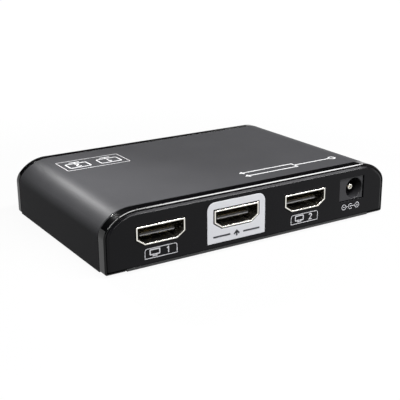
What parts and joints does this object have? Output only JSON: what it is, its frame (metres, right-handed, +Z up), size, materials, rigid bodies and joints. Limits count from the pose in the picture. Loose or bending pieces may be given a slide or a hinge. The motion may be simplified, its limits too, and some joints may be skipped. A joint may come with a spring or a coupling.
{
  "type": "hdmi splitter",
  "caption": "Low box with rounded upper edges that copies a digital video input to its output sockets, with a barrel power jack beside them on the same end.",
  "frame": {"origin": "middle of the part, on the surface that its feet stand on", "axes": "+X along the port end from socket 1 to the power jack, +Y from the port end to the rear, +Z up"},
  "size_m": [0.096, 0.0628, 0.0174],
  "materials": {
    "cover_plastic": "satin dark grey ABS with a fine moulded texture",
    "base_plastic": "matte black ABS",
    "bezel_plastic": "polished black ABS",
    "panel_plastic": "satin black ABS",
    "plate_film": "pale lavender-white film",
    "foot_rubber": "matte black rubber",
    "screw_steel": "zinc-plated steel",
    "board_laminate": "green solder mask on glass laminate",
    "socket_nickel": "bright nickel-plated sheet",
    "socket_resin": "black moulded resin",
    "contact_gold": "gold-plated copper alloy",
    "jack_plastic": "dark grey moulded plastic",
    "plated_brass": "tin-plated brass",
    "spring_bronze": "phosphor bronze strip",
    "chip_resin": "moulded black resin",
    "tinned_lead": "tinned copper alloy",
    "pad_silicone": "grey-blue silicone",
    "sink_aluminium": "plain extruded aluminium",
    "ferrite": "dark grey ferrite",
    "crystal_steel": "drawn nickel-plated can",
    "can_aluminium": "drawn aluminium can",
    "ceramic": "brown ceramic",
    "lamp_resin": "clear water-white epoxy"
  },
  "bodies": {
    "case": {"top_cover": "cover_plastic", "bottom_cover": "base_plastic", "port_bezel": "bezel_plastic", "rear_bezel": "bezel_plastic", "port_panel": "panel_plastic", "rear_panel": "panel_plastic", "input_plate": "plate_film", "rubber_feet": "foot_rubber", "cover_screws": "screw_steel", "board_screws": "screw_steel", "circuit_board": "board_laminate", "jack_housing": "jack_plastic", "jack_centre_pin": "plated_brass", "jack_spring_post": "plated_brass", "splitter_chip": "chip_resin", "splitter_chip_leads": "tinned_lead", "thermal_pad": "pad_silicone", "heat_sink": "sink_aluminium", "control_chip": "chip_resin", "control_chip_leads": "tinned_lead", "memory_chips": "chip_resin", "memory_chip_leads": "tinned_lead", "surge_arrays": "chip_resin", "voltage_regulator": "chip_resin", "regulator_leads": "tinned_lead", "power_inductor": "ferrite", "crystal": "crystal_steel", "capacitor_cans": "can_aluminium", "capacitor_bases": "socket_resin", "ceramic_capacitors": "ceramic", "resistors": "chip_resin", "indicator_lamps": "lamp_resin", "lamp_leads": "tinned_lead", "lamp_holders": "socket_resin", "socket_1_shell": "socket_nickel", "socket_1_insulator": "socket_resin", "socket_1_contacts": "contact_gold", "input_shell": "socket_nickel", "input_insulator": "socket_resin", "input_contacts": "contact_gold", "socket_2_shell": "socket_nickel", "socket_2_insulator": "socket_resin", "socket_2_contacts": "contact_gold"},
    "jack_spring": {"jack_spring_leaf": "spring_bronze"}
  },
  "joints": [
    {"name": "jack_spring_flex", "type": "hinge", "parent": "case", "child": "jack_spring", "pos_m": [0.03191, -0.0208, 0.01022], "axis": [0, 0, -1], "range_deg": [0, 6], "stiffness_Nm_per_rad": 0.02}
  ]
}
